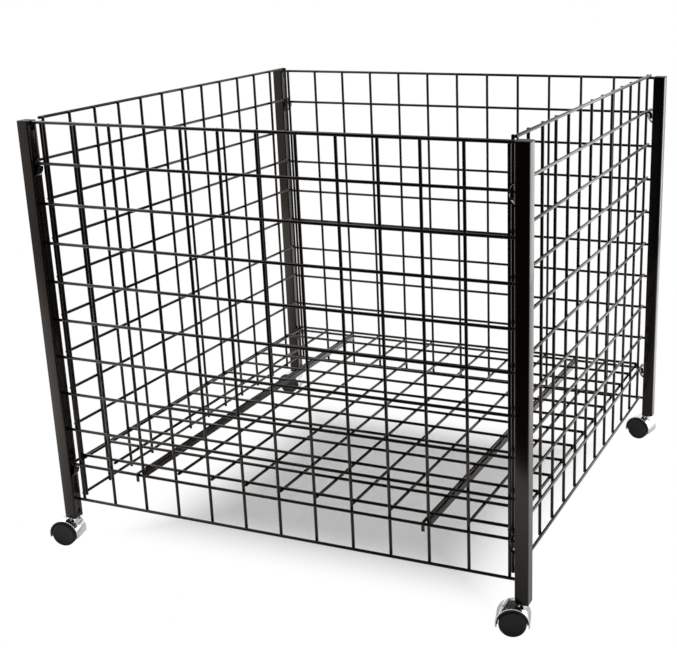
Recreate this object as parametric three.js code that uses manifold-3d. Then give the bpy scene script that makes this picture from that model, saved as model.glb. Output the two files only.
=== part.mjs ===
// Retail dump bin: four square posts on swivel casters carry four hooked-on wire grid panels
// and a loose wire deck on two hooked bars. Millimetres, +Z up, front towards -Y.
import * as THREE from 'three';
import { mergeVertices } from 'three/addons/utils/BufferGeometryUtils.js';
import Module from 'manifold-3d';

// Wire grid
const PITCH = 76.2;
const CELLS_WIDE = 12;
const CELLS_DEEP = 12;
const CELLS_HIGH = 10;
const WIRE = 6.35;
const WIRE_SIDES = 5;
const WELD_SINK = 0.4;
const TOP_NUB = 2.5;
const FOOT_NUB = 4.5;
const SIDE_NUB = 5;
const BEND_RADIUS = 5;
const BEND_STEPS = 2;
const SEAT_GAP = 0.4;

// Posts, with the end plugs that close them
const POST = 25.4;
const POST_WALL = 1.5;
const POST_CORNER = 2.5;
const POST_FOOT = 41.5;
const POST_RISE = 3.5;
const CORNER_GAP = 16.8;
const END_PLAY = 1;
const PLUG_PLATE = 1.6;
const CAP_PLUG_DEPTH = 10;
const SOCKET_DEPTH = 26;
const PLUG_PLAY = 0.4;
const POST_HOLE = 10;
const HOLE_SEGMENTS = 8;
const POST_HOLE_INSET = 14;

// Hooks lanced out of the posts, and the wire prongs that drop into them
const HOOK_ROW = 1;
const POCKET_PLAY = 2.2;
const TONGUE = 1.6;
const TONGUE_WIDTH = 12.6;
const TONGUE_DROP = 4;
const TONGUE_STRAIGHT = 11;
const TONGUE_TAPER = 9;
const PRONG = 14;

// Loose deck and its two hooked support bars
const DECK_PLAY = 0.6;
const DECK_INSET = 3.6;
const BAR_COLUMN = 4;
const BAR_SHEET = 2.5;
const BAR_HEIGHT = 12.7;
const BAR_FLANGE = 12.7;
const BAR_TAB = 18;

// Twin-wheel hooded casters
const TRAIL = 18;
const WHEEL_RADIUS = 25;
const WHEEL_WIDTH = 17;
const WHEEL_EDGE = 2.5;
const WHEEL_WALL = 2.6;
const WHEEL_PLAY = 1;
const WHEEL_SEGMENTS = 14;
const AXLE = 6;
const AXLE_SEGMENTS = 8;
const RUNNING_GAP = 0.3;
const WEB = 9;
const FENDER = 2.5;
const FENDER_WIDTH = 42;
const HOOD_SHEET = 2;
const HOOD_INSET = 1;
const HOOD_DROP = 7;
const HOOD_CLEARANCE = 4.1;
const SHELL_SEGMENTS = 16;
const BOSS = 15;
const COLLAR = 4;
const STEM = 11;
const STEM_LENGTH = 22;
const STEM_SEAT = 4;
const STEM_TIP = 2;
const STEM_SEGMENTS = 8;
const AXLE_BOSS = 16;

// Swivel angle of each caster at rest, from +X to the wheel's side of the stem
const SWIVEL_DEGREES = { front_left: 192, front_right: 195, back_left: 185, back_right: 168 };

// Places worked out from the sizes above
const wireRadius = WIRE / 2;
const layer = WIRE - WELD_SINK;
const halfWidth = CELLS_WIDE * PITCH / 2;
const halfDepth = CELLS_DEEP * PITCH / 2;
const panelHeight = CELLS_HIGH * PITCH;
const pocket = WIRE + 2 * POCKET_PLAY;
const deckHalf = halfWidth - DECK_INSET;
const sideVerticalX = deckHalf + WIRE + DECK_PLAY;
const sidePlaneX = sideVerticalX + layer;
const postFaceX = sidePlaneX + pocket / 2;
const postX = postFaceX + POST / 2;
const postY = halfDepth + CORNER_GAP;
const fenderInner = WHEEL_RADIUS + WHEEL_PLAY;
const fenderOuter = fenderInner + FENDER;
const hoodWidth = FENDER_WIDTH - 2 * HOOD_INSET;
const hoodInner = fenderOuter + SEAT_GAP;
const hoodOuter = hoodInner + HOOD_SHEET;
const casterHeight = WHEEL_RADIUS + hoodOuter + HOOD_CLEARANCE;
const bossTopZ = casterHeight - COLLAR;
const wheelInnerY = WEB / 2 + RUNNING_GAP + SEAT_GAP;
const wheelOuterY = wheelInnerY + WHEEL_WIDTH;
const bottomWireZ = casterHeight + POST_FOOT;
const postTopZ = bottomWireZ + panelHeight + POST_RISE;
const stack = WIRE + SEAT_GAP;
const hookRows = [HOOK_ROW, CELLS_HIGH - HOOK_ROW];
const barSeatZ = bottomWireZ + HOOK_ROW * PITCH + wireRadius + SEAT_GAP;
const barTopZ = barSeatZ + BAR_SHEET;
const deckLowerZ = barTopZ + SEAT_GAP + wireRadius;

const wasm = await Module();
wasm.setup();

// Finishes
const powderCoat = new THREE.MeshStandardMaterial({ color: 0x22201d, roughness: 0.42, metalness: 0.1 });
const chromePlate = new THREE.MeshStandardMaterial({ color: 0xd9dbdd, roughness: 0.08, metalness: 1 });
const blackNylon = new THREE.MeshStandardMaterial({ color: 0x1b1a18, roughness: 0.6, metalness: 0 });
const capPlastic = new THREE.MeshStandardMaterial({ color: 0x24231f, roughness: 0.5, metalness: 0 });
const axleSteel = new THREE.MeshStandardMaterial({ color: 0x9a9c9f, roughness: 0.35, metalness: 1 });

// A closed solid from a geometry: shared corners merged, triangles flattened at a pole dropped
function solid(geometry) {
  geometry.deleteAttribute('normal');
  geometry.deleteAttribute('uv');
  const merged = mergeVertices(geometry);
  const corners = merged.index.array;
  const triangles = [];
  for (let i = 0; i < corners.length; i += 3) {
    const [a, b, c] = corners.slice(i, i + 3);
    if (a !== b && b !== c && c !== a) triangles.push(a, b, c);
  }
  const vertProperties = new Float32Array(merged.attributes.position.array);
  const triVerts = new Uint32Array(triangles);
  return new wasm.Manifold(new wasm.Mesh({ numProp: 3, vertProperties, triVerts }));
}

function join(geometries) {
  return geometries.map(solid).reduce((whole, next) => whole.add(next));
}

function cut(body, geometries) {
  return geometries.map(solid).reduce((whole, next) => whole.subtract(next), body);
}

function mesh(name, body, material) {
  const { vertProperties, triVerts } = body.getMesh();
  const geometry = new THREE.BufferGeometry();
  geometry.setAttribute('position', new THREE.BufferAttribute(vertProperties, 3));
  geometry.setIndex(new THREE.BufferAttribute(triVerts, 1));
  geometry.computeVertexNormals();
  const piece = new THREE.Mesh(geometry, material);
  piece.name = name;
  return piece;
}

function box(sizeX, sizeY, sizeZ, x, y, z) {
  return new THREE.BoxGeometry(sizeX, sizeY, sizeZ).translate(x, y, z);
}

// A square with rounded corners, as the outline of a post and of the plates that close it
function roundedSquare(side, radius) {
  const half = side / 2;
  const flat = half - radius;
  const outline = new THREE.Shape();
  outline.absarc(flat, flat, radius, 0, Math.PI / 2);
  outline.absarc(-flat, flat, radius, Math.PI / 2, Math.PI);
  outline.absarc(-flat, -flat, radius, Math.PI, 1.5 * Math.PI);
  outline.absarc(flat, -flat, radius, 1.5 * Math.PI, 2 * Math.PI);
  return outline;
}

function squareHole(side) {
  const half = side / 2;
  const hole = new THREE.Path();
  hole.moveTo(-half, -half);
  hole.lineTo(-half, half);
  hole.lineTo(half, half);
  hole.lineTo(half, -half);
  hole.closePath();
  return hole;
}

function prism(outline, depth) {
  return new THREE.ExtrudeGeometry(outline, { depth, bevelEnabled: false, curveSegments: 1 });
}

// The centre line of a bent wire: straight runs through the corners, each corner a quarter-round bend
class WireLine extends THREE.Curve {
  constructor(corners) {
    super();
    this.stations = [corners[0]];
    for (let i = 1; i < corners.length - 1; i += 1) {
      const incoming = corners[i].clone().sub(corners[i - 1]).normalize();
      const outgoing = corners[i + 1].clone().sub(corners[i]).normalize();
      const centre = corners[i].clone().addScaledVector(incoming, -BEND_RADIUS);
      centre.addScaledVector(outgoing, BEND_RADIUS);
      for (let step = 0; step <= BEND_STEPS; step += 1) {
        const turn = Math.PI / 2 * step / BEND_STEPS;
        const station = centre.clone().addScaledVector(outgoing, -BEND_RADIUS * Math.cos(turn));
        this.stations.push(station.addScaledVector(incoming, BEND_RADIUS * Math.sin(turn)));
      }
    }
    this.stations.push(corners[corners.length - 1]);
  }

  get steps() {
    return this.stations.length - 1;
  }

  getPointAt(share) {
    return this.stations[Math.round(share * this.steps)].clone();
  }

  getTangentAt(share) {
    const here = Math.round(share * this.steps);
    const before = this.stations[Math.max(here - 1, 0)];
    const after = this.stations[Math.min(here + 1, this.steps)];
    const at = this.stations[here];
    const tangent = at.clone().sub(before).normalize();
    return tangent.add(after.clone().sub(at).normalize()).normalize();
  }
}

const wireSection = new THREE.Shape(Array.from({ length: WIRE_SIDES }, (_, i) => {
  const angle = Math.PI / 2 + 2 * Math.PI * i / WIRE_SIDES;
  return new THREE.Vector2(wireRadius * Math.cos(angle), wireRadius * Math.sin(angle));
}));

function bentWire(corners) {
  const extrudePath = new WireLine(corners);
  return new THREE.ExtrudeGeometry(wireSection, { extrudePath, steps: extrudePath.steps });
}

// A straight wire whose section has a ridge on the side that faces the wires welded across it
function straightWire(from, to, ridge) {
  const run = to.clone().sub(from);
  const along = run.clone().normalize();
  const across = along.clone().cross(ridge);
  const rod = new THREE.CylinderGeometry(wireRadius, wireRadius, run.length(), WIRE_SIDES, 1);
  rod.applyMatrix4(new THREE.Matrix4().makeBasis(across, along, ridge));
  const middle = from.clone().addScaledVector(run, 0.5);
  return rod.translate(middle.x, middle.y, middle.z);
}

// A grid panel in its own frame, standing along Y with the inside of the bin towards +X. The level wires
// are its outer layer, with the uprights welded behind them. Its hook rows end in turned-down prongs.
function gridPanel({ cells, rowReach, prongReach, lift }) {
  const inward = new THREE.Vector3(1, 0, 0);
  const outward = inward.clone().negate();
  const half = cells * PITCH / 2;
  const bottom = bottomWireZ + lift;
  const wires = [];
  for (let column = 0; column <= cells; column += 1) {
    const foot = new THREE.Vector3(layer, column * PITCH - half, bottom - FOOT_NUB);
    wires.push(straightWire(foot, foot.clone().setZ(bottom + panelHeight + TOP_NUB), outward));
  }
  for (let row = 0; row <= CELLS_HIGH; row += 1) {
    const z = bottom + row * PITCH;
    const low = z - lift - PRONG;
    const prongs = [[-prongReach, low], [-prongReach, z], [prongReach, z], [prongReach, low]];
    const ends = [[-rowReach, z], [rowReach, z]];
    const hooked = hookRows.includes(row);
    const corners = (hooked ? prongs : ends).map(([y, height]) => new THREE.Vector3(0, y, height));
    wires.push(hooked ? bentWire(corners) : straightWire(...corners, inward));
  }
  return join(wires);
}

// Front and back panels end at the posts, and side panels hang on them one wire higher
function panels() {
  const frontPlan = { cells: CELLS_WIDE, rowReach: postFaceX - END_PLAY, prongReach: sidePlaneX, lift: 0 };
  const sidePlan = {
    cells: CELLS_DEEP, rowReach: halfDepth + SIDE_NUB, prongReach: postY + stack, lift: stack,
  };
  const hang = (name, plan, degrees, x, y) => {
    const panel = mesh(name, gridPanel(plan), powderCoat);
    panel.rotation.z = THREE.MathUtils.degToRad(degrees);
    panel.position.set(x, y, 0);
    return panel;
  };
  return [
    hang('front_panel', frontPlan, 90, 0, -postY),
    hang('back_panel', frontPlan, -90, 0, postY),
    hang('left_panel', sidePlan, 0, -sidePlaneX, 0),
    hang('right_panel', sidePlan, 180, sidePlaneX, 0),
  ];
}

// The deck is a flat grid that drops in between the panels. Its long front-to-back wires lie along the
// bars, and the cross wires are welded on top.
function deck() {
  const up = new THREE.Vector3(0, 0, 1);
  const down = up.clone().negate();
  const longReach = halfDepth + SIDE_NUB;
  const crossReach = deckHalf + wireRadius;
  const wires = [];
  for (let column = 0; column <= CELLS_WIDE; column += 1) {
    const x = deckHalf * (2 * column / CELLS_WIDE - 1);
    const front = new THREE.Vector3(x, -longReach, deckLowerZ);
    wires.push(straightWire(front, front.clone().setY(longReach), up));
  }
  for (let row = 0; row <= CELLS_DEEP; row += 1) {
    const left = new THREE.Vector3(-crossReach, row * PITCH - halfDepth, deckLowerZ + layer);
    wires.push(straightWire(left, left.clone().setX(crossReach), down));
  }
  return mesh('deck', join(wires), powderCoat);
}

// A folded angle under the deck. Beside an upright at each end a strap of its flange runs on over the
// panel's level wire, and its tab is bent down outside the wire.
function deckBar(name, faceX) {
  const reach = postY - layer - wireRadius - SEAT_GAP;
  const angle = new THREE.Shape();
  angle.moveTo(0, 0);
  angle.lineTo(-BAR_FLANGE, 0);
  angle.lineTo(-BAR_FLANGE, -BAR_SHEET);
  angle.lineTo(-BAR_SHEET, -BAR_SHEET);
  angle.lineTo(-BAR_SHEET, -BAR_HEIGHT);
  angle.lineTo(0, -BAR_HEIGHT);
  angle.closePath();
  const rail = prism(angle, 2 * reach).rotateX(Math.PI / 2).translate(faceX, reach, barTopZ);
  const tabInY = postY + wireRadius + SEAT_GAP;
  const tabOutY = tabInY + BAR_SHEET;
  const tabLowZ = barTopZ - BAR_TAB;
  const staple = new THREE.Shape();
  staple.moveTo(-tabOutY, tabLowZ);
  staple.lineTo(-tabInY, tabLowZ);
  staple.lineTo(-tabInY, barSeatZ);
  staple.lineTo(tabInY, barSeatZ);
  staple.lineTo(tabInY, tabLowZ);
  staple.lineTo(tabOutY, tabLowZ);
  staple.lineTo(tabOutY, barTopZ);
  staple.lineTo(-tabOutY, barTopZ);
  staple.closePath();
  const strap = prism(staple, BAR_FLANGE - WIRE - SEAT_GAP);
  strap.applyMatrix4(new THREE.Matrix4().makeBasis(
    new THREE.Vector3(0, 1, 0), new THREE.Vector3(0, 0, 1), new THREE.Vector3(1, 0, 0)));
  strap.translate(faceX - BAR_FLANGE, 0, 0);
  return mesh(name, join([rail, strap]), powderCoat);
}

// One hook in the post's own frame. facing is the way its face looks along X, outside is the way out of
// the bin along Y, and level is the panel wire's height.
function tongue(facing, outside, level) {
  const face = POST / 2;
  const tip = level - TONGUE_DROP;
  const knee = tip - TONGUE_STRAIGHT;
  const root = knee - TONGUE_TAPER;
  const inWall = face - POST_WALL / 2;
  const inner = face + pocket;
  const outer = inner + TONGUE;
  const outline = [[inWall, root - TONGUE], [face, root - TONGUE], [outer, knee - TONGUE], [outer, tip],
    [inner, tip], [inner, knee], [face, root], [inWall, root]];
  const profile = new THREE.Shape(outline.map(([x, z]) => new THREE.Vector2(facing * x, z)));
  const strip = prism(profile, TONGUE_WIDTH).rotateX(Math.PI / 2);
  return strip.translate(0, TONGUE_WIDTH / 2 + outside * stack / 2, 0);
}

// The opening that the tongue was bent out of
function tongueWindow(facing, outside, level) {
  const tip = level - TONGUE_DROP;
  const root = tip - TONGUE_STRAIGHT - TONGUE_TAPER;
  const y = outside * stack / 2;
  return box(2 * POST_WALL, TONGUE_WIDTH, tip - root, facing * POST / 2, y, (tip + root) / 2);
}

function postHole(facing, z) {
  const drill = new THREE.CylinderGeometry(POST_HOLE / 2, POST_HOLE / 2, 2 * POST_WALL, HOLE_SEGMENTS, 1);
  return drill.rotateZ(Math.PI / 2).translate(facing * POST / 2, 0, z);
}

// A square tube with two hooks and two round holes in the face that looks at its neighbour post
function postTube(facing, outside) {
  const foot = casterHeight + PLUG_PLATE + SEAT_GAP;
  const length = postTopZ - PLUG_PLATE - SEAT_GAP - foot;
  const section = roundedSquare(POST, POST_CORNER);
  section.holes.push(squareHole(POST - 2 * POST_WALL));
  const levels = hookRows.map((row) => bottomWireZ + row * PITCH);
  const windows = levels.map((level) => tongueWindow(facing, outside, level));
  const heights = [casterHeight + POST_HOLE_INSET, postTopZ - POST_HOLE_INSET];
  const holes = heights.map((z) => postHole(facing, z));
  const tube = solid(prism(section, length).translate(0, 0, foot));
  return cut(tube, [...windows, ...holes]).add(join(levels.map((level) => tongue(facing, outside, level))));
}

// A plug with a plate as large as the post, on its end at plateZ. Inward is +1 where the plug points up.
function endPlug(plateZ, inward, depth) {
  const plate = prism(roundedSquare(POST, POST_CORNER), PLUG_PLATE);
  plate.translate(0, 0, inward > 0 ? plateZ : plateZ - PLUG_PLATE);
  const side = POST - 2 * POST_WALL - 2 * PLUG_PLAY;
  const reach = PLUG_PLATE / 2 + depth;
  const middle = plateZ + inward * (PLUG_PLATE / 2 + reach / 2);
  return join([plate, box(side, side, reach, 0, 0, middle)]);
}

// The radius of a hole whose flats clear a turning shaft all round
function clearRadius(shaft, segments) {
  return (shaft / 2 + RUNNING_GAP) / Math.cos(Math.PI / segments);
}

// An upright cylinder on the caster's swivel axis
function onStem(radius, fromZ, toZ) {
  const pin = new THREE.CylinderGeometry(radius, radius, toZ - fromZ, STEM_SEGMENTS, 1);
  return pin.rotateX(Math.PI / 2).translate(0, 0, (fromZ + toZ) / 2);
}

// The plug at a post's foot, bored through for the caster's stem
function casterSocket() {
  const reach = SOCKET_DEPTH + 2 * PLUG_PLATE;
  const bore = onStem(clearRadius(STEM, STEM_SEGMENTS), casterHeight - reach, casterHeight + reach);
  return cut(endPlug(casterHeight, 1, SOCKET_DEPTH), [bore]);
}

// A cylinder on the axle's line, in the caster's frame: stem on Z, wheels at +X, axle along Y
function onAxle(radius, width, segments) {
  return new THREE.CylinderGeometry(radius, radius, width, segments, 1).translate(TRAIL, 0, WHEEL_RADIUS);
}

function belowHeight(z) {
  const side = 4 * hoodOuter;
  return box(side, side, side, TRAIL, 0, z - side / 2);
}

// Nylon body: an arched fender over both wheels and a web between them that holds the axle
function casterBody() {
  const dome = solid(onAxle(fenderOuter, FENDER_WIDTH, SHELL_SEGMENTS));
  const wheelRoom = onAxle(fenderInner, 2 * FENDER_WIDTH, SHELL_SEGMENTS);
  const fender = cut(dome, [belowHeight(WHEEL_RADIUS), wheelRoom]);
  const disc = solid(onAxle(fenderInner + FENDER / 2, WEB, SHELL_SEGMENTS));
  const web = cut(disc, [belowHeight(WHEEL_RADIUS)]).add(solid(onAxle(AXLE_BOSS / 2, WEB, STEM_SEGMENTS)));
  return cut(fender.add(web), [onAxle(clearRadius(AXLE, AXLE_SEGMENTS), 2 * WEB, AXLE_SEGMENTS)]);
}

// Chrome hood: a thin half drum over the fender, with a boss on its crown that is bored for the stem
function casterHood() {
  const drum = solid(onAxle(hoodOuter, hoodWidth, SHELL_SEGMENTS));
  const crowned = drum.add(solid(onStem(BOSS / 2, WHEEL_RADIUS, bossTopZ)));
  const inside = onAxle(hoodInner, 2 * hoodWidth, SHELL_SEGMENTS);
  const seat = STEM_SEAT + RUNNING_GAP;
  const stemBore = onStem(clearRadius(STEM, STEM_SEGMENTS), bossTopZ - seat, bossTopZ + seat);
  return cut(crowned, [inside, belowHeight(WHEEL_RADIUS - HOOD_DROP), stemBore]);
}

// Stem with the collar that bears under the post
function casterStem() {
  const foot = bossTopZ - STEM_SEAT;
  const low = bossTopZ + SEAT_GAP;
  const high = casterHeight - SEAT_GAP;
  const top = casterHeight + STEM_LENGTH;
  const pin = STEM / 2;
  const collar = BOSS / 2;
  const outline = [[0, foot], [pin, foot], [pin, low], [collar, low], [collar, high], [pin, high],
    [pin, top - STEM_TIP], [pin - STEM_TIP, top], [0, top]];
  const profile = outline.map(([r, z]) => new THREE.Vector2(r, z));
  return solid(new THREE.LatheGeometry(profile, STEM_SEGMENTS).rotateX(Math.PI / 2));
}

// A moulded wheel, closed outside and bored from its inner side for the axle
function wheel(side) {
  const bore = clearRadius(AXLE, WHEEL_SEGMENTS);
  const blind = wheelOuterY - WHEEL_WALL;
  const outline = [[0, blind], [bore, blind], [bore, wheelInnerY], [WHEEL_RADIUS, wheelInnerY],
    [WHEEL_RADIUS, wheelOuterY - WHEEL_EDGE], [WHEEL_RADIUS - WHEEL_EDGE, wheelOuterY], [0, wheelOuterY]];
  const profile = outline.map(([r, y]) => new THREE.Vector2(r, y));
  const turned = new THREE.LatheGeometry(profile, WHEEL_SEGMENTS);
  if (side < 0) turned.rotateX(Math.PI);
  return solid(turned.translate(TRAIL, 0, WHEEL_RADIUS));
}

function caster(corner) {
  const axleLength = 2 * (wheelOuterY - WHEEL_WALL - RUNNING_GAP);
  const axle = solid(onAxle(AXLE / 2, axleLength, AXLE_SEGMENTS));
  const group = new THREE.Group();
  group.add(
    mesh(`${corner}_stem`, casterStem(), chromePlate),
    mesh(`${corner}_hood`, casterHood(), chromePlate),
    mesh(`${corner}_caster_body`, casterBody(), blackNylon),
    mesh(`${corner}_axle`, axle, axleSteel),
    mesh(`${corner}_wheel_a`, wheel(1), blackNylon),
    mesh(`${corner}_wheel_b`, wheel(-1), blackNylon),
  );
  group.rotation.z = THREE.MathUtils.degToRad(SWIVEL_DEGREES[corner]);
  return group;
}

// Everything that stands at one corner: post, plugs and caster. sideX and sideY say which corner.
function cornerGroup(corner, sideX, sideY) {
  const group = new THREE.Group();
  group.add(
    mesh(`${corner}_post`, postTube(-sideX, sideY), powderCoat),
    mesh(`${corner}_post_cap`, endPlug(postTopZ, -1, CAP_PLUG_DEPTH), capPlastic),
    mesh(`${corner}_caster_socket`, casterSocket(), capPlastic),
    caster(corner),
  );
  group.position.set(sideX * postX, sideY * postY, 0);
  return group;
}

const bin = new THREE.Group();
bin.add(
  cornerGroup('front_left', -1, -1),
  cornerGroup('front_right', 1, -1),
  cornerGroup('back_left', -1, 1),
  cornerGroup('back_right', 1, 1),
  ...panels(),
  deck(),
  deckBar('left_deck_bar', -BAR_COLUMN * PITCH + wireRadius),
  deckBar('right_deck_bar', BAR_COLUMN * PITCH + wireRadius),
);

// The origin is on the floor, under the middle of the box that holds the whole bin
const bounds = new THREE.Box3().setFromObject(bin, true);
const middle = bounds.getCenter(new THREE.Vector3());
bin.position.set(-middle.x, -middle.y, -bounds.min.z);

export default bin;
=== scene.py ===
"""Retail dump bin, dressed on its CAD frame: round welded wire, lanced square posts and chrome-hooded
casters. Metres, +Z up, and the front panel looks along -Y."""

import math

import bmesh
import bpy
from mathutils import Matrix, Vector


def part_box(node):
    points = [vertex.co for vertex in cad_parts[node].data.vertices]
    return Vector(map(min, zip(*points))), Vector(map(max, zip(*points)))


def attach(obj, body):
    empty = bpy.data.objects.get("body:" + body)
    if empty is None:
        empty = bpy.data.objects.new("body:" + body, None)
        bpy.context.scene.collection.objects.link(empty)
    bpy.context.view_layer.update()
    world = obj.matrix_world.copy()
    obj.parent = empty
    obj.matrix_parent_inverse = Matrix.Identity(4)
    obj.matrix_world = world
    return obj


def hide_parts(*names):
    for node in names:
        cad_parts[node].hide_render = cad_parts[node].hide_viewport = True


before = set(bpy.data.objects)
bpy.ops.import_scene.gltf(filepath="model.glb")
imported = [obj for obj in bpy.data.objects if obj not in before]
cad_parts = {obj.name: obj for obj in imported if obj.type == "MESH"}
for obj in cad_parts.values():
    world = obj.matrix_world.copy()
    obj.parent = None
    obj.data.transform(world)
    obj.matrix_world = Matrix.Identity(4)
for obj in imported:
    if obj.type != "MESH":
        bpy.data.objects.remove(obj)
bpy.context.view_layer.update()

# Wire grid, spaced by the gauge WIRE and drawn with a round wire of WIRE_RADIUS
PITCH = 0.0762
CELLS = 12
CELLS_HIGH = 10
WIRE = 0.00635
WIRE_RADIUS = 0.003
WIRE_END = 0.0014
LAYER = 0.00595
TOP_NUB = 0.0025
FOOT_NUB = 0.0045
SIDE_NUB = 0.005
SEAT_GAP = 0.0004
BEND = 0.005
PRONG = 0.014
WELD_WIDTH = 0.0058
WELD_DEPTH = 0.0032
STACK = WIRE + SEAT_GAP
GRID_HALF = CELLS * PITCH / 2
GRID_HEIGHT = CELLS_HIGH * PITCH

# Posts and their hooks
POST = 0.0254
POST_WALL = 0.0015
POST_CORNER = 0.0025
POST_HOLE = 0.010
POST_HOLE_INSET = 0.014
POCKET = 0.01075
TONGUE = 0.0016
TONGUE_WIDTH = 0.0126
TONGUE_DROP = 0.004
TONGUE_STRAIGHT = 0.011
TONGUE_TAPER = 0.009
TONGUE_FOLD = 0.0095
TONGUE_ROUND = 0.003
TUBE_EDGE = 0.0002
SHEET_EDGE = 0.0003
# Front and back wires without prongs end END_PLAY short of the posts. Side panels hang in by HANG
END_PLAY = 0.001
HANG = 0.001

# Plugs in the posts' ends
PLUG_PLATE = 0.0016
PLUG_PLAY = 0.0004
CAP_PLUG = 0.010
SOCKET_PLUG = 0.026
CAP_EDGE = 0.0007
PLUG_WALL = 0.0018
PLUG_FLOOR = 0.001
CORE_WALL = 0.0025

# Deck and its bars
DECK_INSET = 0.0036
CROSS_NUB = 0.0025
BAR_SHEET = 0.0025
BAR_HEIGHT = 0.0127
BAR_FLANGE = 0.0127
BAR_TAB = 0.018
BAR_FOLD = 0.0018

# Casters, in their own frame: stem on Z, axle along Y at +X
CASTER_HEIGHT = 0.060
TRAIL = 0.018
WHEEL_RADIUS = 0.025
WHEEL_WIDTH = 0.017
WHEEL_INNER = 0.0052
WHEEL_EDGE = 0.0038
WHEEL_BACK_EDGE = 0.001
DISC_RIM = 0.0012
DISC_STEP = 0.0006
DISC_SINK = 0.0004
AXLE_BORE = 0.0034
BORE_DEPTH = 0.0144
WEB = 0.009
FENDER_INNER = 0.026
FENDER_OUTER = 0.0285
FENDER_WIDTH = 0.042
BODY_EDGE = 0.0004
HOOD_OUTER = 0.0309
HOOD_SHEET = 0.002
HOOD_WIDTH = 0.040
HOOD_DROP = 0.007
HOOD_EDGE = 0.0005
BOSS = 0.015
BOSS_TOP = 0.056
AXLE_BOSS = 0.016
RUNNING_GAP = 0.0003
STEM = 0.011
STEM_LENGTH = 0.022
STEM_SEAT = 0.004
STEM_TIP = 0.002
STEM_POINT = 0.65
STEM_EDGE = 0.0004
# How each caster trails, in degrees
SWIVEL = {"front_left": 192, "front_right": 195, "back_left": 185, "back_right": 168}

# Sides of the round shapes, and steps in a wire's bend
WIRE_SIDES = 16
BORE_SIDES = 32
CORE_SIDES = 36
NECK_SIDES = 48
WHEEL_SIDES = 64
HOOD_SIDES = 96
BEND_STEPS = 6

# Degrees between two faces, past which their edge is rounded over or stays a crease
ROUNDED = 40
TUBE_ROUNDED = 60
CREASE = 35
WIRE_CREASE = 50

# Where the frame puts the posts, the lowest wire and the hooks
corners = {}
for corner in SWIVEL:
    low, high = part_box(f"{corner}_post_cap")
    corners[corner] = Vector(((low.x + high.x) / 2, (low.y + high.y) / 2, 0))
post_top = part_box("back_right_post_cap")[1].z
middle = sum(corners.values(), Vector()) / len(corners)
post_x = corners["front_right"].x - middle.x
post_y = corners["back_left"].y - middle.y
post_face = post_x - POST / 2
side_plane = post_face - POCKET / 2
bottom_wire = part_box("front_panel")[0].z + FOOT_NUB
hook_levels = (bottom_wire + PITCH, bottom_wire + GRID_HEIGHT - PITCH)


# Working by hand: selection, edit mode and modifiers
MERGE = 0.00002
# As cosines: a face that looks along an axis, an edge that runs along one, and two faces at a fold
FACING = 0.9
ALONG = 0.99
FOLDED = 0.5


def clear():
    """Object mode with nothing selected."""
    if bpy.context.mode != "OBJECT":
        bpy.ops.object.mode_set(mode="OBJECT")
    bpy.ops.object.select_all(action="DESELECT")


def work_on(piece):
    clear()
    piece.select_set(True)
    bpy.context.view_layer.objects.active = piece


def settle(piece):
    """Moves the piece's place into its mesh."""
    work_on(piece)
    bpy.ops.object.transform_apply(location=True, rotation=True, scale=True)
    return piece


def edit(piece):
    work_on(piece)
    bpy.ops.object.mode_set(mode="EDIT")
    bpy.ops.mesh.select_all(action="SELECT")


def select(piece, kind, test):
    """Selects, in edit mode, only the faces or edges that pass the test."""
    bpy.ops.mesh.select_mode(type=kind)
    bpy.ops.mesh.select_all(action="DESELECT")
    mesh = bmesh.from_edit_mesh(piece.data)
    for element in mesh.faces if kind == "FACE" else mesh.edges:
        element.select_set(test(element))
    bmesh.update_edit_mesh(piece.data)


def centre(edge):
    return (edge.verts[0].co + edge.verts[1].co) / 2


def along(edge, axis):
    run = edge.verts[1].co - edge.verts[0].co
    return abs(run[axis]) > ALONG * run.length


def extrude(move):
    bpy.ops.mesh.extrude_region_move(TRANSFORM_OT_translate={"value": move})


def bevel(width, segments=3):
    bpy.ops.mesh.bevel(offset=width, segments=segments, affect="EDGES")


def modify(piece, kind, **settings):
    work_on(piece)
    modifier = piece.modifiers.new(kind.lower(), kind)
    for key, value in settings.items():
        setattr(modifier, key, value)
    bpy.ops.object.modifier_apply(modifier=modifier.name)
    return piece


def combine(piece, tool, operation):
    """A Boolean with a tool shape that is used up."""
    modify(piece, "BOOLEAN", operation=operation, object=tool, solver="EXACT")
    bpy.data.objects.remove(tool)
    return piece


def repeat(piece, count, step):
    return modify(piece, "ARRAY", count=count, use_relative_offset=False, use_constant_offset=True,
                  constant_offset_displace=step)


def join(pieces):
    clear()
    for piece in pieces:
        piece.select_set(True)
    bpy.context.view_layer.objects.active = pieces[0]
    bpy.ops.object.join()
    return pieces[0]


def copy(piece, matrix):
    """A twin with its own mesh, moved by the matrix. A mirrored one is turned right side out."""
    work_on(piece)
    bpy.ops.object.duplicate()
    twin = bpy.context.object
    twin.matrix_world = matrix
    settle(twin)
    if matrix.determinant() < 0:
        edit(twin)
        bpy.ops.mesh.flip_normals()
        clear()
    return twin


def block(size, place):
    clear()
    bpy.ops.mesh.primitive_cube_add(size=1, location=place, scale=size)
    return settle(bpy.context.object)


def sheet(size, place, turn=(0, 0, 0)):
    """A flat rectangle to extrude from."""
    clear()
    bpy.ops.mesh.primitive_plane_add(size=1, location=place, rotation=turn)
    bpy.context.object.scale = (*size, 1)
    return settle(bpy.context.object)


def drum(radius, length, place, axis, sides):
    turn = {"X": (0, math.pi / 2, 0), "Y": (math.pi / 2, 0, 0), "Z": (0, 0, 0)}[axis]
    clear()
    bpy.ops.mesh.primitive_cylinder_add(vertices=sides, radius=radius, depth=length, location=place,
                                        rotation=turn)
    return settle(bpy.context.object)


def merge(piece):
    """Joins points that cuts and bevels left on one spot."""
    edit(piece)
    bpy.ops.mesh.remove_doubles(threshold=MERGE)
    clear()
    return piece


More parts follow.
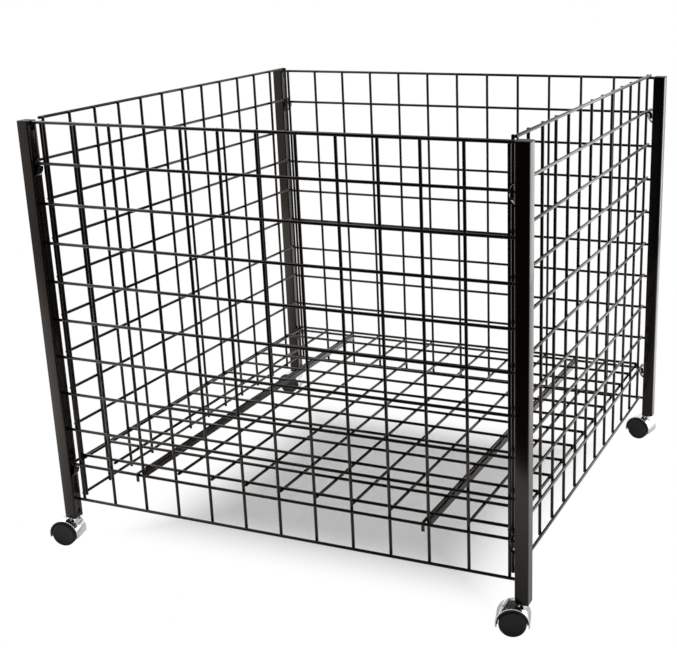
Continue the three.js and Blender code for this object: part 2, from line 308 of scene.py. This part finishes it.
def soften(piece, width, angle=ROUNDED, segments=2):
    """Rounds every sharp edge a little, so that it catches light."""
    modify(merge(piece), "BEVEL", width=width, segments=segments, limit_method="ANGLE",
           angle_limit=math.radians(angle))
    return merge(piece)


def smooth(piece, angle=CREASE):
    work_on(piece)
    bpy.ops.object.shade_smooth_by_angle(angle=math.radians(angle))
    return piece


# Wire
def round_ends(wire):
    """The coating rounds over the sheared ends."""
    edit(wire)
    select(wire, "FACE", lambda face: len(face.verts) == WIRE_SIDES)
    bevel(WIRE_END, segments=2)
    clear()
    return wire


def straight_wire(start, end):
    run = end - start
    clear()
    bpy.ops.mesh.primitive_cylinder_add(vertices=WIRE_SIDES, radius=WIRE_RADIUS, depth=run.length,
                                        location=(start + end) / 2,
                                        rotation=run.to_track_quat("Z", "Y").to_euler())
    return round_ends(settle(bpy.context.object))


def hook_wire(reach, level, foot):
    """A level wire along Y whose ends are bent down into prongs."""
    rise = level - BEND - foot
    clear()
    bpy.ops.mesh.primitive_circle_add(vertices=WIRE_SIDES, radius=WIRE_RADIUS,
                                      location=(0, -reach, foot))
    wire = settle(bpy.context.object)
    edit(wire)
    extrude((0, 0, rise))
    for side, run in ((-1, (0, 2 * (reach - BEND), 0)), (1, (0, 0, -rise))):
        bpy.ops.mesh.spin(steps=BEND_STEPS, angle=math.pi / 2, axis=(1, 0, 0),
                          center=(0, side * (reach - BEND), level - BEND))
        extrude(run)
    bpy.ops.mesh.select_all(action="SELECT")
    bpy.ops.mesh.fill_holes(sides=0)
    bpy.ops.mesh.normals_make_consistent(inside=False)
    return round_ends(wire)


def weld(place, normal_axis):
    """The bead squeezed out where two wires are welded."""
    size = [WELD_WIDTH / 2] * 3
    size[normal_axis] = WELD_DEPTH / 2
    clear()
    bpy.ops.mesh.primitive_ico_sphere_add(subdivisions=1, radius=1, location=place, scale=size)
    return settle(bpy.context.object)


def grid_panel(row_reach, prong_reach, lift):
    """A panel along Y with the bin's inside towards +X, before it is turned into place."""
    bottom = bottom_wire + lift
    foot = Vector((LAYER, -GRID_HALF, bottom - FOOT_NUB))
    upright = straight_wire(foot, foot + Vector((0, 0, FOOT_NUB + GRID_HEIGHT + TOP_NUB)))
    repeat(upright, CELLS + 1, (0, PITCH, 0))
    rim = straight_wire(Vector((0, -row_reach, bottom)), Vector((0, row_reach, bottom)))
    inner = copy(rim, Matrix.Translation((0, 0, 2 * PITCH)))
    repeat(rim, 2, (0, 0, GRID_HEIGHT))
    repeat(inner, CELLS_HIGH - 3, (0, 0, PITCH))
    hooked = hook_wire(prong_reach, bottom + PITCH, bottom + PITCH - lift - PRONG)
    repeat(hooked, 2, (0, 0, GRID_HEIGHT - 2 * PITCH))
    beads = weld((LAYER / 2, -GRID_HALF, bottom), normal_axis=0)
    repeat(beads, CELLS + 1, (0, PITCH, 0))
    repeat(beads, CELLS_HIGH + 1, (0, 0, PITCH))
    return smooth(join([upright, rim, inner, hooked, beads]), WIRE_CREASE)


def deck_grid():
    """Long wires that lie along the bars, with the cross wires welded on top of them."""
    low_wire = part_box("deck")[0].z + WIRE_RADIUS
    top_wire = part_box("deck")[1].z - WIRE_RADIUS
    half = GRID_HALF - DECK_INSET
    long_reach = GRID_HALF + SIDE_NUB
    cross_reach = half + CROSS_NUB
    column = (2 * half / CELLS, 0, 0)
    row = (0, PITCH, 0)
    long_wire = straight_wire(Vector((-half, -long_reach, low_wire)),
                              Vector((-half, long_reach, low_wire)))
    repeat(long_wire, CELLS + 1, column)
    cross_wire = straight_wire(Vector((-cross_reach, -GRID_HALF, top_wire)),
                               Vector((cross_reach, -GRID_HALF, top_wire)))
    repeat(cross_wire, CELLS + 1, row)
    beads = weld((-half, -GRID_HALF, (low_wire + top_wire) / 2), normal_axis=2)
    repeat(beads, CELLS + 1, column)
    repeat(beads, CELLS + 1, row)
    return smooth(join([long_wire, cross_wire, beads]), WIRE_CREASE)


# Sheet steel
def deck_bar(node):
    """A folded angle. Beside an upright at each end a strap of its flange runs on over the panel's
    level wire, and its tab is bent down outside."""
    low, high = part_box(node)
    fold = high.z - BAR_SHEET / 2
    leg = high.x - BAR_SHEET / 2
    strap_side = low.x + BAR_FLANGE - WIRE - SEAT_GAP
    rail_end = post_y - LAYER - WIRE / 2 - SEAT_GAP
    tab = high.y - middle.y - BAR_SHEET / 2
    bar = sheet((leg - low.x, 2 * rail_end), ((leg + low.x) / 2, middle.y, fold))
    edit(bar)
    bpy.ops.mesh.bisect(plane_co=(strap_side, 0, 0), plane_no=(1, 0, 0))
    for side in (-1, 1):
        select(bar, "EDGE", lambda edge: along(edge, 0) and side * (centre(edge).y - middle.y) > 0
               and centre(edge).x < strap_side)
        extrude((0, side * (tab - rail_end), 0))
        extrude((0, 0, BAR_SHEET / 2 - BAR_TAB))
    select(bar, "EDGE", lambda edge: along(edge, 1) and abs(centre(edge).x - leg) < BAR_SHEET / 4)
    extrude((0, 0, BAR_SHEET / 2 - BAR_HEIGHT))
    select(bar, "EDGE", lambda edge: len(edge.link_faces) == 2
           and abs(centre(edge).z - fold) < BAR_SHEET / 4
           and abs(edge.link_faces[0].normal.dot(edge.link_faces[1].normal)) < FOLDED)
    bevel(BAR_FOLD, segments=4)
    bpy.ops.mesh.select_all(action="SELECT")
    bpy.ops.mesh.normals_make_consistent(inside=False)
    modify(bar, "SOLIDIFY", thickness=BAR_SHEET, offset=0, use_even_offset=True)
    return smooth(soften(bar, SHEET_EDGE))


def hook(level):
    """A tongue lanced out of the post's +X face and bent up to a pocket."""
    tip = level - TONGUE_DROP
    knee = tip - TONGUE_STRAIGHT - TONGUE / 2
    stand = POST / 2 + POCKET + TONGUE / 2
    tongue = sheet((tip - knee, TONGUE_WIDTH), (stand, -STACK / 2, (tip + knee) / 2),
                   (0, math.pi / 2, 0))
    edit(tongue)
    select(tongue, "EDGE", lambda edge: along(edge, 1) and centre(edge).z < (tip + knee) / 2)
    extrude((POST / 2 - POST_WALL / 2 - stand, 0, -TONGUE_TAPER))
    select(tongue, "EDGE", lambda edge: len(edge.link_faces) == 2)
    bevel(TONGUE_FOLD, segments=8)
    bpy.ops.mesh.select_all(action="SELECT")
    bpy.ops.mesh.normals_make_consistent(inside=False)
    modify(tongue, "SOLIDIFY", thickness=TONGUE, offset=0, use_even_offset=True)
    edit(tongue)
    select(tongue, "EDGE", lambda edge: along(edge, 0) and centre(edge).z > tip - TONGUE)
    bevel(TONGUE_ROUND, segments=4)
    clear()
    return soften(tongue, SHEET_EDGE)


def post_tube():
    """The front left post about its own axis: hooks on the +X face, outside towards -Y."""
    foot = CASTER_HEIGHT + PLUG_PLATE + SEAT_GAP
    top = post_top - PLUG_PLATE - SEAT_GAP
    tube = block((POST, POST, top - foot), (0, 0, (foot + top) / 2))
    edit(tube)
    select(tube, "FACE", lambda face: abs(face.normal.z) > FACING)
    bpy.ops.mesh.delete(type="FACE")
    select(tube, "EDGE", lambda edge: along(edge, 2))
    bevel(POST_CORNER, segments=5)
    modify(tube, "SOLIDIFY", thickness=POST_WALL, offset=-1)
    for level in hook_levels:
        tip = level - TONGUE_DROP
        height = TONGUE_STRAIGHT + TONGUE_TAPER
        window = block((2 * POST_WALL, TONGUE_WIDTH, height), (POST / 2, -STACK / 2, tip - height / 2))
        combine(tube, window, "DIFFERENCE")
    for z in (CASTER_HEIGHT + POST_HOLE_INSET, post_top - POST_HOLE_INSET):
        hole = drum(POST_HOLE / 2, 2 * POST_WALL, (POST / 2, 0, z), "X", BORE_SIDES)
        combine(tube, hole, "DIFFERENCE")
    soften(tube, TUBE_EDGE, TUBE_ROUNDED)
    return smooth(join([tube, *[hook(level) for level in hook_levels]]))


# Plastic plugs
def end_plug(depth):
    """A plate as large as the post with a hollow plug under it, its top on the plane Z = 0."""
    plug = block((POST, POST, PLUG_PLATE), (0, 0, -PLUG_PLATE / 2))
    edit(plug)
    select(plug, "EDGE", lambda edge: along(edge, 2))
    bevel(POST_CORNER, segments=5)
    select(plug, "FACE", lambda face: face.normal.z > FACING)
    bevel(CAP_EDGE)
    select(plug, "FACE", lambda face: face.normal.z < -FACING)
    bpy.ops.mesh.inset(thickness=POST_WALL + PLUG_PLAY)
    extrude((0, 0, -depth))
    bpy.ops.mesh.inset(thickness=PLUG_WALL)
    extrude((0, 0, depth - PLUG_FLOOR))
    clear()
    return plug


def post_cap():
    return smooth(end_plug(CAP_PLUG))


def caster_socket():
    """The same plug turned over at the post's foot, with a bored core for the caster's stem."""
    plug = end_plug(SOCKET_PLUG)
    plug.rotation_euler = (math.pi, 0, 0)
    settle(plug)
    height = SOCKET_PLUG - PLUG_FLOOR
    core = drum(STEM / 2 + CORE_WALL, height, (0, 0, PLUG_PLATE + height / 2), "Z", CORE_SIDES)
    bore = drum(STEM / 2 + SEAT_GAP, 4 * SOCKET_PLUG, (0, 0, 0), "Z", CORE_SIDES)
    combine(plug, core, "UNION")
    combine(plug, bore, "DIFFERENCE")
    return smooth(plug)


# Casters
def on_axle(radius, width, sides=WHEEL_SIDES):
    return drum(radius, width, (TRAIL, 0, WHEEL_RADIUS), "Y", sides)


def cut_below(piece, z):
    edit(piece)
    bpy.ops.mesh.bisect(plane_co=(0, 0, z), plane_no=(0, 0, 1), use_fill=True, clear_inner=True)
    clear()
    return piece


def caster_body():
    """Nylon arch over both wheels, the web between them and the boss for the axle."""
    body = cut_below(on_axle(FENDER_OUTER, FENDER_WIDTH), WHEEL_RADIUS)
    for side in (-1, 1):
        pocket = on_axle(FENDER_INNER, FENDER_WIDTH)
        pocket.location.y = side * (FENDER_WIDTH + WEB) / 2
        combine(body, settle(pocket), "DIFFERENCE")
    combine(body, on_axle(AXLE_BOSS / 2, WEB, BORE_SIDES), "UNION")
    combine(body, on_axle(AXLE_BORE, 2 * WEB, BORE_SIDES), "DIFFERENCE")
    return smooth(soften(body, BODY_EDGE))


def caster_hood():
    """Pressed half drum with its edges eased over, and the neck on its crown that takes the stem."""
    hood = on_axle(HOOD_OUTER, HOOD_WIDTH, HOOD_SIDES)
    combine(hood, on_axle(HOOD_OUTER - HOOD_SHEET, 2 * HOOD_WIDTH, HOOD_SIDES), "DIFFERENCE")
    cut_below(hood, WHEEL_RADIUS - HOOD_DROP)
    soften(hood, HOOD_EDGE, segments=3)
    neck = drum(BOSS / 2, BOSS_TOP - WHEEL_RADIUS, (0, 0, (BOSS_TOP + WHEEL_RADIUS) / 2), "Z",
                NECK_SIDES)
    bore = drum(STEM / 2 + RUNNING_GAP, 2 * (STEM_SEAT + RUNNING_GAP), (0, 0, BOSS_TOP), "Z",
                BORE_SIDES)
    combine(neck, bore, "DIFFERENCE")
    soften(neck, HOOD_EDGE, segments=3)
    middle_of_sheet = on_axle(HOOD_OUTER - HOOD_SHEET / 2, 2 * HOOD_WIDTH, HOOD_SIDES)
    combine(neck, middle_of_sheet, "DIFFERENCE")
    return smooth(merge(combine(hood, neck, "UNION")))


def caster_stem():
    """Plated stem with the collar that bears under the post."""
    low = BOSS_TOP + SEAT_GAP
    high = CASTER_HEIGHT - SEAT_GAP
    stem = drum(BOSS / 2, high - low, (0, 0, (low + high) / 2), "Z", NECK_SIDES)
    edit(stem)
    select(stem, "FACE", lambda face: face.normal.z > FACING)
    bpy.ops.mesh.inset(thickness=(BOSS - STEM) / 2)
    extrude((0, 0, CASTER_HEIGHT + STEM_LENGTH - high - STEM_TIP))
    extrude((0, 0, STEM_TIP))
    bpy.ops.transform.resize(value=(STEM_POINT, STEM_POINT, 1))
    select(stem, "FACE", lambda face: face.normal.z < -FACING)
    bpy.ops.mesh.inset(thickness=(BOSS - STEM) / 2)
    extrude((0, 0, BOSS_TOP - STEM_SEAT - low))
    clear()
    return smooth(soften(stem, STEM_EDGE))


def wheel():
    """A moulded disc wheel on the +Y side, closed outside and bored from within."""
    disc = drum(WHEEL_RADIUS, WHEEL_WIDTH, (TRAIL, WHEEL_INNER + WHEEL_WIDTH / 2, WHEEL_RADIUS), "Y",
                WHEEL_SIDES)
    edit(disc)
    select(disc, "FACE", lambda face: face.normal.y > FACING)
    bevel(WHEEL_EDGE, segments=5)
    select(disc, "FACE", lambda face: face.normal.y > FACING and len(face.verts) > 4)
    bpy.ops.mesh.inset(thickness=DISC_RIM)
    bpy.ops.mesh.inset(thickness=DISC_STEP, depth=-DISC_SINK)
    select(disc, "FACE", lambda face: face.normal.y < -FACING)
    bevel(WHEEL_BACK_EDGE)
    select(disc, "FACE", lambda face: face.normal.y < -FACING and len(face.verts) > 4)
    bpy.ops.mesh.inset(thickness=WHEEL_RADIUS - WHEEL_BACK_EDGE - AXLE_BORE)
    extrude((0, BORE_DEPTH, 0))
    clear()
    return smooth(disc)


# Finishes, with the breadth of rubbed patches in millimetres and the height of a bump in metres
RUB_MM = 16.0
BUMP_HEIGHT = 0.0002


def linear(hex_colour):
    """An sRGB hex colour as Blender's linear values."""
    parts = [int(hex_colour[i:i + 2], 16) / 255 for i in (1, 3, 5)]
    return tuple(p / 12.92 if p <= 0.04045 else ((p + 0.055) / 1.055) ** 2.4 for p in parts) + (1,)


def add(tree, kind, links=(), **settings):
    """One node with its settings. A setting in_NAME is an input, and a link is (input, output)."""
    node = tree.nodes.new(kind)
    for key, value in settings.items():
        if key.startswith("in_"):
            name = key[3:].replace("_", " ")
            node.inputs[int(name) if name.isdigit() else name].default_value = value
        else:
            setattr(node, key, value)
    for socket, output in links:
        tree.links.new(output, node.inputs[socket])
    return node


def new_material(name):
    material = bpy.data.materials.new(name)
    material.use_nodes = True
    material.node_tree.nodes.clear()
    return material, material.node_tree


def finished(tree, shader):
    add(tree, "ShaderNodeOutputMaterial", [("Surface", shader)])


def powder_coat(drift_mm, peel_mm):
    """Satin black powder coat on steel: a hard skin with soft orange peel and faint colour drift."""
    material, tree = new_material("satin_black_powder_coat")
    place = add(tree, "ShaderNodeTexCoord").outputs["Object"]
    drift = add(tree, "ShaderNodeTexNoise", [("Vector", place)], in_Scale=1000.0 / drift_mm, in_Detail=3.0)
    colour = add(tree, "ShaderNodeValToRGB", [("Fac", drift.outputs["Fac"])])
    colour.color_ramp.elements[0].color = linear("#0b0907")
    colour.color_ramp.elements[1].color = linear("#15120e")
    rough = add(tree, "ShaderNodeMapRange", [("Value", drift.outputs["Fac"])], in_To_Min=0.15,
                in_To_Max=0.25)
    peel = add(tree, "ShaderNodeTexNoise", [("Vector", place)], in_Scale=1000.0 / peel_mm, in_Detail=2.0)
    bump = add(tree, "ShaderNodeBump", [("Height", peel.outputs["Fac"])], in_Strength=0.06,
               in_Distance=BUMP_HEIGHT)
    shader = add(tree, "ShaderNodeBsdfPrincipled",
                 [("Base Color", colour.outputs["Color"]), ("Roughness", rough.outputs["Result"]),
                  ("Normal", bump.outputs["Normal"])], in_IOR=1.4, in_Specular_Tint=linear("#fff1e4"))
    finished(tree, shader.outputs["BSDF"])
    return material


def moulded_plastic(name, dark, light, low_rough, high_rough, grain_mm, grain_strength):
    """Moulded plastic: even colour, a spark-eroded grain and slight shine where it is rubbed. The grain is
    drawn coarser than a real one, so that it shows."""
    material, tree = new_material(name)
    place = add(tree, "ShaderNodeTexCoord").outputs["Object"]
    drift = add(tree, "ShaderNodeTexNoise", [("Vector", place)], in_Scale=1000.0 / RUB_MM, in_Detail=4.0)
    colour = add(tree, "ShaderNodeValToRGB", [("Fac", drift.outputs["Fac"])])
    colour.color_ramp.elements[0].color = linear(dark)
    colour.color_ramp.elements[1].color = linear(light)
    rough = add(tree, "ShaderNodeMapRange", [("Value", drift.outputs["Fac"])], in_To_Min=low_rough,
                in_To_Max=high_rough)
    grain = add(tree, "ShaderNodeTexNoise", [("Vector", place)], in_Scale=1000.0 / grain_mm, in_Detail=1.0)
    bump = add(tree, "ShaderNodeBump", [("Height", grain.outputs["Fac"])], in_Strength=grain_strength,
               in_Distance=BUMP_HEIGHT)
    shader = add(tree, "ShaderNodeBsdfPrincipled",
                 [("Base Color", colour.outputs["Color"]), ("Roughness", rough.outputs["Result"]),
                  ("Normal", bump.outputs["Normal"])], in_IOR=1.4)
    finished(tree, shader.outputs["BSDF"])
    return material


def metal(name, colour, low_rough, high_rough, smear_mm):
    """Bare or plated metal with faint smears that dull it in places."""
    material, tree = new_material(name)
    place = add(tree, "ShaderNodeTexCoord").outputs["Object"]
    smear = add(tree, "ShaderNodeTexNoise", [("Vector", place)], in_Scale=1000.0 / smear_mm, in_Detail=5.0)
    rough = add(tree, "ShaderNodeMapRange", [("Value", smear.outputs["Fac"])], in_From_Min=0.35,
                in_From_Max=0.75, in_To_Min=low_rough, in_To_Max=high_rough)
    shader = add(tree, "ShaderNodeBsdfPrincipled", [("Roughness", rough.outputs["Result"])],
                 in_Metallic=1.0, in_Base_Color=linear(colour))
    finished(tree, shader.outputs["BSDF"])
    return material


coat = powder_coat(drift_mm=110.0, peel_mm=2.5)
cap_plastic = moulded_plastic("moulded_black_polyethylene", "#191814", "#211f1b", low_rough=0.5,
                              high_rough=0.62, grain_mm=0.8, grain_strength=0.1)
nylon = moulded_plastic("moulded_black_nylon", "#201e1b", "#2a2824", low_rough=0.45,
                        high_rough=0.6, grain_mm=0.6, grain_strength=0.15)
chrome = metal("bright_chrome_plate", "#e4e6e8", low_rough=0.04, high_rough=0.12, smear_mm=12.0)
axle_steel = metal("drawn_axle_steel", "#a3a5a8", low_rough=0.25, high_rough=0.4, smear_mm=5.0)


def dress(piece, node, body, material):
    """Names a finished piece, gives it its finish and puts it in its node's place."""
    piece.name = f"{node}_look"
    piece.data.name = piece.name
    piece.data.materials.clear()
    piece.data.materials.append(material)
    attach(piece, body)
    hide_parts(node)


def dress_grid():
    """The four panels, the deck and the bars."""
    front = grid_panel(post_face - END_PLAY, side_plane, 0)
    left = grid_panel(GRID_HALF + SIDE_NUB, post_y + STACK, STACK)
    places = {
        "front_panel": (front, 90, (0, -post_y, 0)),
        "back_panel": (front, -90, (0, post_y, 0)),
        "left_panel": (left, 0, (HANG - side_plane, 0, 0)),
        "right_panel": (left, 180, (side_plane - HANG, 0, 0)),
    }
    for node, (pattern, degrees, shift) in places.items():
        turn = Matrix.Rotation(math.radians(degrees), 4, "Z")
        panel = copy(pattern, Matrix.Translation(middle + Vector(shift)) @ turn)
        dress(panel, node, "bin", coat)
    bpy.data.objects.remove(front)
    bpy.data.objects.remove(left)
    deck = deck_grid()
    deck.location = middle
    dress(settle(deck), "deck", "bin", coat)
    for node in ("left_deck_bar", "right_deck_bar"):
        dress(deck_bar(node), node, "bin", coat)


def dress_corners():
    """Post, plugs and caster, each modelled once and copied to the four corners."""
    tube, cap, socket = post_tube(), post_cap(), caster_socket()
    caster_parts = {
        "stem": (caster_stem(), chrome, "chrome_plate"),
        "hood": (caster_hood(), chrome, "chrome_plate"),
        "caster_body": (caster_body(), nylon, "black_nylon"),
    }
    near_wheel = wheel()
    for corner, place in corners.items():
        stand = Matrix.Translation(place)
        side_x = math.copysign(1, place.x - middle.x)
        side_y = math.copysign(1, place.y - middle.y)
        mirror = Matrix.Diagonal((-side_x, -side_y, 1, 1))
        dress(copy(tube, stand @ mirror), f"{corner}_post", "bin", coat)
        lid = Matrix.Translation(place + Vector((0, 0, post_top)))
        dress(copy(cap, lid), f"{corner}_post_cap", "bin", cap_plastic)
        shoe = Matrix.Translation(place + Vector((0, 0, CASTER_HEIGHT)))
        dress(copy(socket, shoe), f"{corner}_caster_socket", "bin", cap_plastic)
        swivel = stand @ Matrix.Rotation(math.radians(SWIVEL[corner]), 4, "Z")
        for part, (pattern, material, slot) in caster_parts.items():
            dress(copy(pattern, swivel), f"{corner}_{part}", f"{corner}_caster", material)
        for side, scale in (("a", 1), ("b", -1)):
            disc = copy(near_wheel, swivel @ Matrix.Diagonal((1, scale, 1, 1)))
            dress(disc, f"{corner}_wheel_{side}", f"{corner}_caster_wheel_{side}", nylon)
        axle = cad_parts[f"{corner}_axle"]
        axle.data.materials.clear()
        axle.data.materials.append(axle_steel)
    for pattern in (tube, cap, socket, near_wheel, *[entry[0] for entry in caster_parts.values()]):
        bpy.data.objects.remove(pattern)


# Studio
FLOOR_SIZE = 60.0
# The floor's strength by distance from the bin's middle: to the camera, and in reflections
WHITE = ((0.22, 0.0), (0.44, 1.0))
SHINE = ((0.45, 0.0), (0.95, 1.0), (1.5, 1.0), (3.0, 0.35))
# The room's strength by the Y of a direction, from in front of the bin to behind it
ROOM_FRONT = (-0.6, 0.12)
ROOM_BACK = (0.7, 0.72)
# Boards that only reflections show: a dark one in front of the bin and two grey ones inside it
CARD_SIZE = (2.28, 2.2)
CARD_PLACE = (0.42, -0.95, 1.1)
FLAG_SIZE = (0.8, 0.6)
FLAG_HEIGHT = 0.55
CAMERA_PLACE = Vector((1.10053, -2.26646, 1.15757))
CAMERA_TURN = (23.562, 17.951, -1.404)
FOCAL_PIXELS = 1216.56
IMAGE_WIDTH = 677
PRINCIPAL_SHIFT = (-0.1218, 0.0227)


def mirrored(tree, path):
    """1 for what metal and glass show."""
    return add(tree, "ShaderNodeMath", [(0, path["Is Glossy Ray"]), (1, path["Is Transmission Ray"])],
               operation="MAXIMUM").outputs[0]


def graded(tree, distance, stops, kind):
    """A strength that changes with the distance for one kind of ray, and is 0 for the others."""
    far = stops[-1][0]
    share = add(tree, "ShaderNodeMath", [(0, distance)], operation="DIVIDE", in_1=far)
    ramp = add(tree, "ShaderNodeValToRGB", [("Fac", share.outputs[0])])
    ramp.color_ramp.interpolation = "EASE"
    steps = ramp.color_ramp.elements
    while len(steps) < len(stops):
        steps.new(1.0)
    for step, (reach, strength) in zip(steps, stops):
        step.position = reach / far
        step.color = (strength, strength, strength, 1)
    strength = add(tree, "ShaderNodeMath", [(0, ramp.outputs["Color"]), (1, kind)], operation="MULTIPLY")
    return strength.outputs[0]


def studio_floor():
    """A white floor that keeps the bin's soft shadow and glows like a lit backdrop further away."""
    clear()
    bpy.ops.mesh.primitive_plane_add(size=FLOOR_SIZE)
    floor = bpy.context.object
    floor.name = "studio_floor"
    material, tree = new_material("white_studio_floor")
    matt = add(tree, "ShaderNodeBsdfDiffuse", in_Color=linear("#f2f2f2"))
    place = add(tree, "ShaderNodeTexCoord").outputs["Object"]
    across = add(tree, "ShaderNodeVectorMath", [(0, place)], operation="ABSOLUTE")
    parts = add(tree, "ShaderNodeSeparateXYZ", [(0, across.outputs["Vector"])])
    away = add(tree, "ShaderNodeMath", [(0, parts.outputs["X"]), (1, parts.outputs["Y"])],
               operation="MAXIMUM")
    path = add(tree, "ShaderNodeLightPath").outputs
    shine = graded(tree, away.outputs[0], SHINE, mirrored(tree, path))
    glow = add(tree, "ShaderNodeEmission", [("Strength", shine)])
    lit = add(tree, "ShaderNodeAddShader", [(0, matt.outputs["BSDF"]), (1, glow.outputs["Emission"])])
    share = graded(tree, away.outputs[0], WHITE, path["Is Camera Ray"])
    white = add(tree, "ShaderNodeEmission")
    both = add(tree, "ShaderNodeMixShader", [(0, share), (1, lit.outputs["Shader"]),
                                             (2, white.outputs["Emission"])])
    finished(tree, both.outputs["Shader"])
    floor.data.materials.append(material)


def dark_card(name, colour, size, place, turn):
    """A board that the camera doesn't see and only reflections show."""
    card = sheet(size, place, turn)
    card.name = name
    material, tree = new_material(f"{name}_board")
    finished(tree, add(tree, "ShaderNodeBsdfDiffuse", in_Color=linear(colour)).outputs["BSDF"])
    card.data.materials.append(material)
    card.visible_camera = False
    card.visible_diffuse = False
    card.visible_shadow = False


def studio_world():
    """A soft room, paler behind the bin than in front, that is white to the camera and in reflections."""
    world = bpy.data.worlds.new("soft_studio")
    bpy.context.scene.world = world
    world.use_nodes = True
    tree = world.node_tree
    tree.nodes.clear()
    way = add(tree, "ShaderNodeTexCoord").outputs["Generated"]
    parts = add(tree, "ShaderNodeSeparateXYZ", [(0, way)])
    depth = add(tree, "ShaderNodeMapRange", [("Value", parts.outputs["Y"])],
                in_From_Min=ROOM_FRONT[0], in_From_Max=ROOM_BACK[0],
                in_To_Min=ROOM_FRONT[1], in_To_Max=ROOM_BACK[1])
    path = add(tree, "ShaderNodeLightPath").outputs
    seen = add(tree, "ShaderNodeMath", [(0, path["Is Camera Ray"]), (1, mirrored(tree, path))],
               operation="MAXIMUM")
    strength = add(tree, "ShaderNodeMath", [(0, depth.outputs["Result"]), (1, seen.outputs[0])],
                   operation="MAXIMUM")
    room = add(tree, "ShaderNodeBackground", [("Strength", strength.outputs[0])], in_Color=(1, 1, 1, 1))
    add(tree, "ShaderNodeOutputWorld", [("Surface", room.outputs["Background"])])


def softbox(name, place, target, size, power):
    lamp = bpy.data.lights.new(name, "AREA")
    lamp.shape = "RECTANGLE"
    lamp.size, lamp.size_y = size
    lamp.energy = power
    stand = bpy.data.objects.new(name, lamp)
    bpy.context.scene.collection.objects.link(stand)
    stand.location = place
    stand.rotation_euler = (Vector(target) - Vector(place)).to_track_quat("-Z", "Y").to_euler()
    stand.visible_camera = False


def studio_camera():
    """The photograph's view, from a camera fitted to the grid."""
    azimuth, elevation, roll = (math.radians(angle) for angle in CAMERA_TURN)
    lens = bpy.data.cameras.new("photo_camera")
    lens.sensor_fit = "HORIZONTAL"
    lens.lens = FOCAL_PIXELS / IMAGE_WIDTH * lens.sensor_width
    lens.shift_x, lens.shift_y = PRINCIPAL_SHIFT
    lens.clip_end = 2 * FLOOR_SIZE
    camera = bpy.data.objects.new("photo_camera", lens)
    bpy.context.scene.collection.objects.link(camera)
    turn = Matrix.Rotation(azimuth, 4, "Z") @ Matrix.Rotation(math.pi / 2 - elevation, 4, "X")
    camera.matrix_world = Matrix.Translation(CAMERA_PLACE) @ turn @ Matrix.Rotation(roll, 4, "Z")
    bpy.context.scene.camera = camera


dress_grid()
dress_corners()
studio_floor()
dark_card("front_card", "#040404", CARD_SIZE, CARD_PLACE, (math.pi / 2, 0, 0))
for name, turn in (("flag_across", 0), ("flag_along", math.pi / 2)):
    dark_card(name, "#707070", FLAG_SIZE, (middle.x, middle.y, FLAG_HEIGHT), (math.pi / 2, 0, turn))
studio_world()
softbox("side_softbox", place=(1.72, 1.92, 0.8), target=(0.3, 0, 0.5), size=(1.8, 1.5), power=20)
softbox("top_softbox", place=(-2.3, 0.2, 2.6), target=(0, 0, 0.4), size=(3.4, 3.6), power=70)
studio_camera()
bpy.context.scene.view_settings.view_transform = "Standard"

clear()
